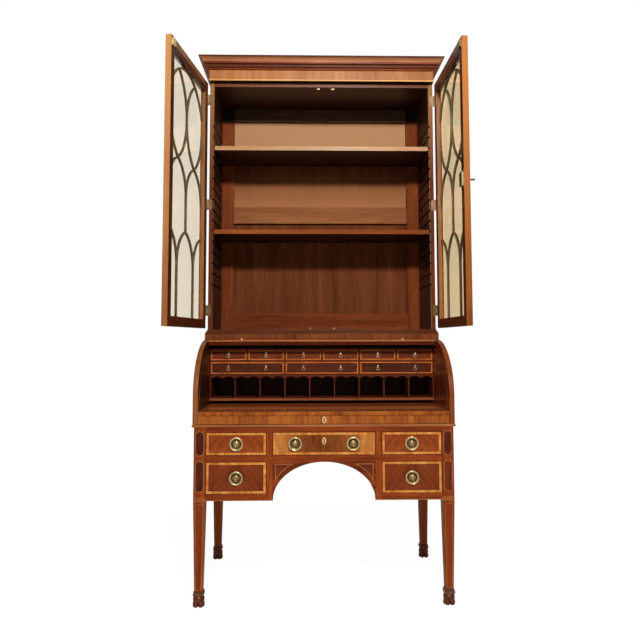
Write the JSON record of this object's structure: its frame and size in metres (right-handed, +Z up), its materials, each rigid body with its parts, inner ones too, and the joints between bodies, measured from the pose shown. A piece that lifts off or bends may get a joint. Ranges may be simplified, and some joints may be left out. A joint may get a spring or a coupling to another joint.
{
  "type": "tambour secretary bookcase",
  "caption": "Neoclassical secretary bookcase: mahogany writing table on tapered legs, roll-top tambour over pigeonholes, and a bookcase with glazed tracery doors.",
  "frame": {"origin": "on the floor, under the middle of the table case, halfway between the four feet", "axes": "+X to the right seen from the front, +Y to the back, +Z up"},
  "size_m": [1.145, 0.8197, 2.2395],
  "materials": {
    "mahogany": "polished",
    "muntin": "satin",
    "glass": "clear",
    "brass": "aged"
  },
  "bodies": {
    "case": {"legs": "mahogany", "paw_feet": "brass", "case_front_frame": "mahogany", "kneehole_apron": "mahogany", "case_carcass": "mahogany", "table_top": "mahogany", "gables": "mahogany", "desk_shell": "mahogany", "pigeonhole_unit": "mahogany", "bookcase_sides": "mahogany", "bookcase_carcass": "mahogany", "waist_moulding": "mahogany", "cornice": "mahogany", "bookcase_brasses": "brass"},
    "left_door": {"left_door_frame": "mahogany", "left_door_tracery": "muntin", "left_door_glass": "glass", "left_door_brasses": "brass"},
    "right_door": {"right_door_frame": "mahogany", "right_door_tracery": "muntin", "right_door_glass": "glass", "right_door_brasses": "brass"},
    "key": {"door_key": "brass"},
    "tambour": {"tambour_slats": "mahogany", "tambour_lip": "mahogany"},
    "slide": {"writing_slide": "mahogany"},
    "shelf_low": {"lower_shelf": "mahogany"},
    "shelf_high": {"upper_shelf": "mahogany"},
    "upper_left_drawer": {"upper_left_drawer": "mahogany"},
    "upper_left_drawer_ring": {"upper_left_drawer_ring": "brass"},
    "lower_left_drawer": {"lower_left_drawer": "mahogany"},
    "lower_left_drawer_ring": {"lower_left_drawer_ring": "brass"},
    "centre_drawer": {"centre_drawer": "mahogany"},
    "centre_drawer_ring_1": {"centre_drawer_ring_1": "brass"},
    "centre_drawer_ring_2": {"centre_drawer_ring_2": "brass"},
    "upper_right_drawer": {"upper_right_drawer": "mahogany"},
    "upper_right_drawer_ring": {"upper_right_drawer_ring": "brass"},
    "lower_right_drawer": {"lower_right_drawer": "mahogany"},
    "lower_right_drawer_ring": {"lower_right_drawer_ring": "brass"},
    "small_drawer_1": {"small_drawer_1": "mahogany"},
    "small_drawer_2": {"small_drawer_2": "mahogany"},
    "small_drawer_3": {"small_drawer_3": "mahogany"},
    "small_drawer_4": {"small_drawer_4": "mahogany"},
    "small_drawer_5": {"small_drawer_5": "mahogany"},
    "small_drawer_6": {"small_drawer_6": "mahogany"},
    "wide_drawer_1": {"wide_drawer_1": "mahogany"},
    "wide_drawer_2": {"wide_drawer_2": "mahogany"},
    "wide_drawer_3": {"wide_drawer_3": "mahogany"},
    "small_drawer_1_drop": {"small_drawer_1_drop": "brass"},
    "small_drawer_2_drop": {"small_drawer_2_drop": "brass"},
    "small_drawer_3_drop": {"small_drawer_3_drop": "brass"},
    "small_drawer_4_drop": {"small_drawer_4_drop": "brass"},
    "small_drawer_5_drop": {"small_drawer_5_drop": "brass"},
    "small_drawer_6_drop": {"small_drawer_6_drop": "brass"},
    "wide_drawer_1_drop_left": {"wide_drawer_1_drop_left": "brass"},
    "wide_drawer_1_drop_right": {"wide_drawer_1_drop_right": "brass"},
    "wide_drawer_2_drop_left": {"wide_drawer_2_drop_left": "brass"},
    "wide_drawer_2_drop_right": {"wide_drawer_2_drop_right": "brass"},
    "wide_drawer_3_drop_left": {"wide_drawer_3_drop_left": "brass"},
    "wide_drawer_3_drop_right": {"wide_drawer_3_drop_right": "brass"}
  },
  "joints": [
    {"name": "left_door_hinge", "type": "hinge", "parent": "case", "child": "left_door", "pos_m": [-0.5005, -0.013, 1.054], "axis": [0, 0, 1], "range_deg": [-72, 97.6]},
    {"name": "right_door_hinge", "type": "hinge", "parent": "case", "child": "right_door", "pos_m": [0.5005, -0.013, 1.054], "axis": [0, 0, -1], "range_deg": [-79, 91]},
    {"name": "key_turn", "type": "hinge", "parent": "right_door", "child": "key", "pos_m": [0.53183, -0.49028, 1.594], "axis": [-0.9998, -0.0175, 0], "range_deg": [0, 90]},
    {"name": "tambour_roll", "type": "hinge", "parent": "case", "child": "tambour", "pos_m": [0, 0.003, 0.712], "axis": [1, 0, 0], "range_deg": [0, 76.2]},
    {"name": "writing_slide_pull", "type": "slide", "parent": "case", "child": "slide", "axis": [0, -1, 0], "range_m": [0, 0.25]},
    {"name": "lower_shelf_slide", "type": "slide", "parent": "case", "child": "shelf_low", "axis": [0, 1, 0], "range_m": [-0.25, 0]},
    {"name": "upper_shelf_slide", "type": "slide", "parent": "case", "child": "shelf_high", "axis": [0, 1, 0], "range_m": [-0.25, 0]},
    {"name": "upper_left_drawer_pull", "type": "slide", "parent": "case", "child": "upper_left_drawer", "axis": [0, -1, 0], "range_m": [0, 0.4]},
    {"name": "upper_left_drawer_ring_swing", "type": "hinge", "parent": "upper_left_drawer", "child": "upper_left_drawer_ring", "pos_m": [-0.3375, -0.3113, 0.6292], "axis": [-1, 0, 0], "range_deg": [0, 85]},
    {"name": "lower_left_drawer_pull", "type": "slide", "parent": "case", "child": "lower_left_drawer", "axis": [0, -1, 0], "range_m": [0, 0.4]},
    {"name": "lower_left_drawer_ring_swing", "type": "hinge", "parent": "lower_left_drawer", "child": "lower_left_drawer_ring", "pos_m": [-0.3375, -0.3113, 0.5007], "axis": [-1, 0, 0], "range_deg": [0, 85]},
    {"name": "centre_drawer_pull", "type": "slide", "parent": "case", "child": "centre_drawer", "axis": [0, -1, 0], "range_m": [0, 0.4]},
    {"name": "centre_drawer_ring_1_swing", "type": "hinge", "parent": "centre_drawer", "child": "centre_drawer_ring_1", "pos_m": [-0.112, -0.3113, 0.6292], "axis": [-1, 0, 0], "range_deg": [0, 85]},
    {"name": "centre_drawer_ring_2_swing", "type": "hinge", "parent": "centre_drawer", "child": "centre_drawer_ring_2", "pos_m": [0.112, -0.3113, 0.6292], "axis": [-1, 0, 0], "range_deg": [0, 85]},
    {"name": "upper_right_drawer_pull", "type": "slide", "parent": "case", "child": "upper_right_drawer", "axis": [0, -1, 0], "range_m": [0, 0.4]},
    {"name": "upper_right_drawer_ring_swing", "type": "hinge", "parent": "upper_right_drawer", "child": "upper_right_drawer_ring", "pos_m": [0.3375, -0.3113, 0.6292], "axis": [-1, 0, 0], "range_deg": [0, 85]},
    {"name": "lower_right_drawer_pull", "type": "slide", "parent": "case", "child": "lower_right_drawer", "axis": [0, -1, 0], "range_m": [0, 0.4]},
    {"name": "lower_right_drawer_ring_swing", "type": "hinge", "parent": "lower_right_drawer", "child": "lower_right_drawer_ring", "pos_m": [0.3375, -0.3113, 0.5007], "axis": [-1, 0, 0], "range_deg": [0, 85]},
    {"name": "small_drawer_1_pull", "type": "slide", "parent": "case", "child": "small_drawer_1", "axis": [0, 1, 0], "range_m": [-0.045, 0]},
    {"name": "small_drawer_2_pull", "type": "slide", "parent": "case", "child": "small_drawer_2", "axis": [0, 1, 0], "range_m": [-0.045, 0]},
    {"name": "small_drawer_3_pull", "type": "slide", "parent": "case", "child": "small_drawer_3", "axis": [0, 1, 0], "range_m": [-0.045, 0]},
    {"name": "small_drawer_4_pull", "type": "slide", "parent": "case", "child": "small_drawer_4", "axis": [0, 1, 0], "range_m": [-0.045, 0]},
    {"name": "small_drawer_5_pull", "type": "slide", "parent": "case", "child": "small_drawer_5", "axis": [0, 1, 0], "range_m": [-0.045, 0]},
    {"name": "small_drawer_6_pull", "type": "slide", "parent": "case", "child": "small_drawer_6", "axis": [0, 1, 0], "range_m": [-0.045, 0]},
    {"name": "wide_drawer_1_pull", "type": "slide", "parent": "case", "child": "wide_drawer_1", "axis": [0, 1, 0], "range_m": [-0.11, 0]},
    {"name": "wide_drawer_2_pull", "type": "slide", "parent": "case", "child": "wide_drawer_2", "axis": [0, 1, 0], "range_m": [-0.11, 0]},
    {"name": "wide_drawer_3_pull", "type": "slide", "parent": "case", "child": "wide_drawer_3", "axis": [0, 1, 0], "range_m": [-0.11, 0]},
    {"name": "small_drawer_1_drop_swing", "type": "hinge", "parent": "small_drawer_1", "child": "small_drawer_1_drop", "pos_m": [-0.40529, 0.0105, 0.93975], "axis": [-1, 0, 0], "range_deg": [0, 85]},
    {"name": "small_drawer_2_drop_swing", "type": "hinge", "parent": "small_drawer_2", "child": "small_drawer_2_drop", "pos_m": [-0.24318, 0.0105, 0.93975], "axis": [-1, 0, 0], "range_deg": [0, 85]},
    {"name": "small_drawer_3_drop_swing", "type": "hinge", "parent": "small_drawer_3", "child": "small_drawer_3_drop", "pos_m": [-0.08106, 0.0105, 0.93975], "axis": [-1, 0, 0], "range_deg": [0, 85]},
    {"name": "small_drawer_4_drop_swing", "type": "hinge", "parent": "small_drawer_4", "child": "small_drawer_4_drop", "pos_m": [0.08106, 0.0105, 0.93975], "axis": [-1, 0, 0], "range_deg": [0, 85]},
    {"name": "small_drawer_5_drop_swing", "type": "hinge", "parent": "small_drawer_5", "child": "small_drawer_5_drop", "pos_m": [0.24318, 0.0105, 0.93975], "axis": [-1, 0, 0], "range_deg": [0, 85]},
    {"name": "small_drawer_6_drop_swing", "type": "hinge", "parent": "small_drawer_6", "child": "small_drawer_6_drop", "pos_m": [0.40529, 0.0105, 0.93975], "axis": [-1, 0, 0], "range_deg": [0, 85]},
    {"name": "wide_drawer_1_drop_left_swing", "type": "hinge", "parent": "wide_drawer_1", "child": "wide_drawer_1_drop_left", "pos_m": [-0.40529, 0.0105, 0.8845], "axis": [-1, 0, 0], "range_deg": [0, 85]},
    {"name": "wide_drawer_1_drop_right_swing", "type": "hinge", "parent": "wide_drawer_1", "child": "wide_drawer_1_drop_right", "pos_m": [-0.24318, 0.0105, 0.8845], "axis": [-1, 0, 0], "range_deg": [0, 85]},
    {"name": "wide_drawer_2_drop_left_swing", "type": "hinge", "parent": "wide_drawer_2", "child": "wide_drawer_2_drop_left", "pos_m": [-0.08106, 0.0105, 0.8845], "axis": [-1, 0, 0], "range_deg": [0, 85]},
    {"name": "wide_drawer_2_drop_right_swing", "type": "hinge", "parent": "wide_drawer_2", "child": "wide_drawer_2_drop_right", "pos_m": [0.08106, 0.0105, 0.8845], "axis": [-1, 0, 0], "range_deg": [0, 85]},
    {"name": "wide_drawer_3_drop_left_swing", "type": "hinge", "parent": "wide_drawer_3", "child": "wide_drawer_3_drop_left", "pos_m": [0.24318, 0.0105, 0.8845], "axis": [-1, 0, 0], "range_deg": [0, 85]},
    {"name": "wide_drawer_3_drop_right_swing", "type": "hinge", "parent": "wide_drawer_3", "child": "wide_drawer_3_drop_right", "pos_m": [0.40529, 0.0105, 0.8845], "axis": [-1, 0, 0], "range_deg": [0, 85]}
  ]
}
